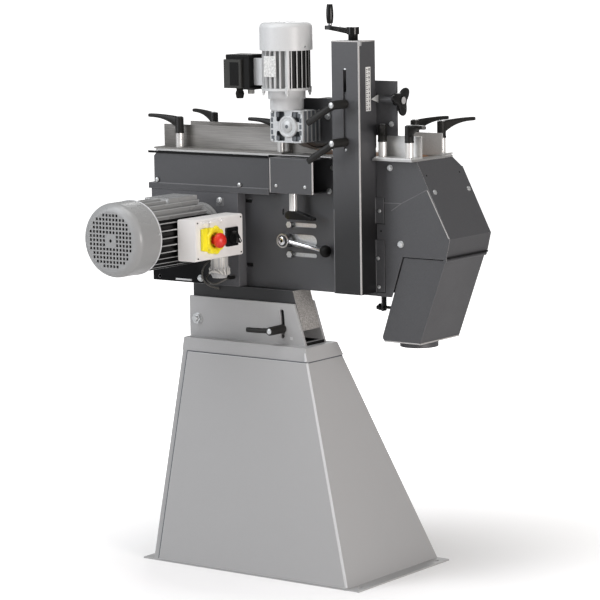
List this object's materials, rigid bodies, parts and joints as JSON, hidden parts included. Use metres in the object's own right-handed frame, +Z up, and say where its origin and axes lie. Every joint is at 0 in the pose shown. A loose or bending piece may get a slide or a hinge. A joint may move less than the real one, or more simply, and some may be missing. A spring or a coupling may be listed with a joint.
{
  "type": "long stroke belt sander",
  "caption": "Floor-standing long stroke belt sander: tapered pedestal, tilting head with motor and belt, fenced table and a powered feed wheel on a column.",
  "frame": {"origin": "on the floor at the centre of the pedestal's base plate", "axes": "+X along the belt from the motor end to the dust chute, +Y from the motor side to the rear door, +Z up"},
  "size_m": [0.9798, 0.765, 1.5226],
  "materials": {
    "pedestal_paint": "satin light grey powder coat",
    "head_paint": "fine-textured anthracite powder coat",
    "zinc": "zinc plated",
    "table_steel": "ground",
    "shaft_steel": "turned",
    "black_metal": "satin black",
    "lever_chrome": "polished",
    "motor_aluminium": "silver grey paint",
    "wheel_aluminium": "turned",
    "fence_aluminium": "brushed and anodised",
    "scale_foil": "printed foil",
    "abrasive_cloth": "coated abrasive",
    "tyre_rubber": "matt",
    "box_plastic": "off-white",
    "inlet_plastic": "light grey",
    "flap_plastic": "yellow",
    "button_plastic": "red",
    "black_plastic": "fine-textured black"
  },
  "bodies": {
    "stand": {"pedestal": "pedestal_paint", "front_panel": "pedestal_paint", "tilt_bracket": "pedestal_paint", "tilt_pivot_bolt": "zinc"},
    "head": {"tilt_carrier": "head_paint", "main_plate": "head_paint", "belt_casing": "head_paint", "deflector_cover": "head_paint", "motor_bracket": "head_paint", "motor_stator": "motor_aluminium", "motor_fan_cover": "motor_aluminium", "belt_platen": "zinc", "abrasive_belt": "abrasive_cloth", "infeed_table": "table_steel", "outfeed_table": "table_steel", "lever_sleeves": "zinc", "table_skirt": "head_paint", "front_box": "head_paint", "column": "head_paint", "scale_strip": "scale_foil", "switch_box": "box_plastic", "plug_inlet": "inlet_plastic"},
    "drive": {"motor_rotor": "shaft_steel", "drive_pulley": "wheel_aluminium"},
    "contact_wheel": {"contact_wheel": "wheel_aluminium"},
    "tension": {"tension_slide": "zinc", "tension_guide_bolts": "zinc"},
    "tension_roller": {"tension_roller": "shaft_steel"},
    "tension_lever": {"tension_lever": "lever_chrome"},
    "estop_flap": {"estop_flap": "flap_plastic"},
    "estop_button": {"estop_button": "button_plastic"},
    "selector_knob": {"selector_knob": "black_plastic"},
    "rear_door": {"rear_door": "head_paint"},
    "dust_chute": {"dust_chute": "head_paint"},
    "chute_knob": {"chute_knob": "black_plastic"},
    "carriage": {"carriage_plate": "head_paint", "feed_gearbox": "motor_aluminium", "feed_motor": "motor_aluminium", "feed_fan_cover": "motor_aluminium", "feed_terminal_box": "black_plastic"},
    "feed_wheel": {"feed_wheel": "tyre_rubber"},
    "crank": {"crank": "black_metal"},
    "crank_grip": {"crank_grip": "black_plastic"},
    "star_knob": {"star_knob": "black_plastic"},
    "infeed_front_fence": {"infeed_front_fence": "fence_aluminium"},
    "infeed_rear_fence": {"infeed_rear_fence": "fence_aluminium"},
    "outfeed_front_fence": {"outfeed_front_fence": "fence_aluminium"},
    "outfeed_rear_fence": {"outfeed_rear_fence": "fence_aluminium"},
    "infeed_lever_1": {"infeed_lever_1": "black_plastic"},
    "infeed_lever_2": {"infeed_lever_2": "black_plastic"},
    "infeed_lever_3": {"infeed_lever_3": "black_plastic"},
    "infeed_lever_4": {"infeed_lever_4": "black_plastic"},
    "outfeed_lever_1": {"outfeed_lever_1": "black_plastic"},
    "outfeed_lever_2": {"outfeed_lever_2": "black_plastic"},
    "outfeed_lever_3": {"outfeed_lever_3": "black_plastic"},
    "outfeed_lever_4": {"outfeed_lever_4": "black_plastic"},
    "column_lever_upper": {"column_lever_upper": "black_plastic"},
    "column_lever_lower": {"column_lever_lower": "black_plastic"},
    "tilt_lever": {"tilt_lever": "black_plastic"},
    "box_lever": {"box_lever": "black_plastic"}
  },
  "joints": [
    {"name": "head_tilt", "type": "hinge", "parent": "stand", "child": "head", "pos_m": [-0.18, -0.135, 0.678], "axis": [0, -1, 0], "range_deg": [-4, 9]},
    {"name": "drive_spin", "type": "hinge", "parent": "head", "child": "drive", "pos_m": [-0.169, -0.06, 0.926], "axis": [0, 1, 0], "continuous": true},
    {"name": "contact_wheel_spin", "type": "hinge", "parent": "head", "child": "contact_wheel", "pos_m": [0.43, -0.06, 1.0292], "axis": [0, 1, 0], "continuous": true},
    {"name": "tension_travel", "type": "slide", "parent": "head", "child": "tension", "axis": [1, 0, 0], "range_m": [0, 0.08]},
    {"name": "tension_roller_spin", "type": "hinge", "parent": "tension", "child": "tension_roller", "pos_m": [-0.262, -0.06, 1.0892], "axis": [0, 1, 0], "continuous": true},
    {"name": "tension_lever_turn", "type": "hinge", "parent": "tension", "child": "tension_lever", "pos_m": [0.092, -0.1503, 0.901], "axis": [0, 1, 0], "range_deg": [0, 75]},
    {"name": "estop_flap_lift", "type": "hinge", "parent": "head", "child": "estop_flap", "pos_m": [-0.0117, -0.322, 0.961], "axis": [0, -1, 0], "range_deg": [0, 100]},
    {"name": "estop_press", "type": "slide", "parent": "estop_flap", "child": "estop_button", "axis": [-1, 0, 0], "range_m": [0, 0.005], "stiffness_N_per_m": 1000},
    {"name": "selector_turn", "type": "hinge", "parent": "head", "child": "selector_knob", "pos_m": [-0.005, -0.242, 0.915], "axis": [1, 0, 0], "range_deg": [0, 90]},
    {"name": "rear_door_swing", "type": "hinge", "parent": "head", "child": "rear_door", "pos_m": [-0.3405, 0.051, 0.9485], "axis": [0, 0, 1], "range_deg": [0, 110]},
    {"name": "chute_swing", "type": "hinge", "parent": "head", "child": "dust_chute", "pos_m": [0.591, -0.06, 0.876], "axis": [0, -1, 0], "range_deg": [0, 35]},
    {"name": "chute_knob_turn", "type": "hinge", "parent": "head", "child": "chute_knob", "pos_m": [0.38, -0.112, 0.74], "axis": [1, 0, 0], "range_deg": [0, 360]},
    {"name": "carriage_lift", "type": "slide", "parent": "head", "child": "carriage", "axis": [0, 0, 1], "range_m": [-0.01, 0.08]},
    {"name": "feed_wheel_spin", "type": "hinge", "parent": "carriage", "child": "feed_wheel", "pos_m": [0.158, -0.06, 1.208], "axis": [0, 1, 0], "continuous": true},
    {"name": "crank_turn", "type": "hinge", "parent": "head", "child": "crank", "pos_m": [0.339, -0.176, 1.445], "axis": [0, 0, 1], "range_deg": [-900, 7200]},
    {"name": "crank_grip_spin", "type": "hinge", "parent": "crank", "child": "crank_grip", "pos_m": [0.267, -0.176, 1.495], "axis": [0, 0, 1], "continuous": true},
    {"name": "star_knob_turn", "type": "hinge", "parent": "carriage", "child": "star_knob", "pos_m": [0.455, -0.138, 1.279], "axis": [1, 0, 0], "range_deg": [0, 360]},
    {"name": "infeed_front_fence_set", "type": "slide", "parent": "head", "child": "infeed_front_fence", "axis": [0, 1, 0], "range_m": [0, 0.004]},
    {"name": "infeed_rear_fence_set", "type": "slide", "parent": "head", "child": "infeed_rear_fence", "axis": [0, -1, 0], "range_m": [0, 0.004]},
    {"name": "outfeed_front_fence_set", "type": "slide", "parent": "head", "child": "outfeed_front_fence", "axis": [0, 1, 0], "range_m": [0, 0.004]},
    {"name": "outfeed_rear_fence_set", "type": "slide", "parent": "head", "child": "outfeed_rear_fence", "axis": [0, -1, 0], "range_m": [0, 0.004]},
    {"name": "infeed_lever_1_turn", "type": "hinge", "parent": "head", "child": "infeed_lever_1", "pos_m": [-0.26, -0.144, 1.18], "axis": [0, 0, 1], "range_deg": [-30, 30]},
    {"name": "infeed_lever_2_turn", "type": "hinge", "parent": "head", "child": "infeed_lever_2", "pos_m": [-0.273, 0.024, 1.18], "axis": [0, 0, 1], "range_deg": [-30, 30]},
    {"name": "infeed_lever_3_turn", "type": "hinge", "parent": "head", "child": "infeed_lever_3", "pos_m": [0.081, -0.144, 1.18], "axis": [0, 0, 1], "range_deg": [-30, 30]},
    {"name": "infeed_lever_4_turn", "type": "hinge", "parent": "head", "child": "infeed_lever_4", "pos_m": [0.068, 0.024, 1.18], "axis": [0, 0, 1], "range_deg": [-30, 30]},
    {"name": "outfeed_lever_1_turn", "type": "hinge", "parent": "head", "child": "outfeed_lever_1", "pos_m": [0.404, -0.144, 1.18], "axis": [0, 0, 1], "range_deg": [-30, 30]},
    {"name": "outfeed_lever_2_turn", "type": "hinge", "parent": "head", "child": "outfeed_lever_2", "pos_m": [0.487, -0.144, 1.18], "axis": [0, 0, 1], "range_deg": [-30, 30]},
    {"name": "outfeed_lever_3_turn", "type": "hinge", "parent": "head", "child": "outfeed_lever_3", "pos_m": [0.391, 0.024, 1.18], "axis": [0, 0, 1], "range_deg": [-8, 30]},
    {"name": "outfeed_lever_4_turn", "type": "hinge", "parent": "head", "child": "outfeed_lever_4", "pos_m": [0.474, 0.024, 1.18], "axis": [0, 0, 1], "range_deg": [-30, 30]},
    {"name": "column_lever_upper_turn", "type": "hinge", "parent": "carriage", "child": "column_lever_upper", "pos_m": [0.336, -0.22, 1.271], "axis": [0, 1, 0], "range_deg": [-30, 30]},
    {"name": "column_lever_lower_turn", "type": "hinge", "parent": "carriage", "child": "column_lever_lower", "pos_m": [0.336, -0.22, 1.174], "axis": [0, 1, 0], "range_deg": [-30, 30]},
    {"name": "tilt_lever_turn", "type": "hinge", "parent": "head", "child": "tilt_lever", "pos_m": [0.10491, -0.19, 0.67104], "axis": [0, 1, 0], "range_deg": [-20, 40]},
    {"name": "box_lever_turn", "type": "hinge", "parent": "head", "child": "box_lever", "pos_m": [0.141, -0.176, 0.98], "axis": [0, 0, 1], "range_deg": [-40, 10]}
  ],
  "couplings": [
    {"joint": "contact_wheel_spin", "follows": "drive_spin", "ratio": 1},
    {"joint": "tension_roller_spin", "follows": "drive_spin", "ratio": 2.5},
    {"joint": "tension_lever_turn", "follows": "tension_travel", "rad_per_m": 16.362},
    {"joint": "crank_turn", "follows": "carriage_lift", "rad_per_m": 1570.8}
  ]
}
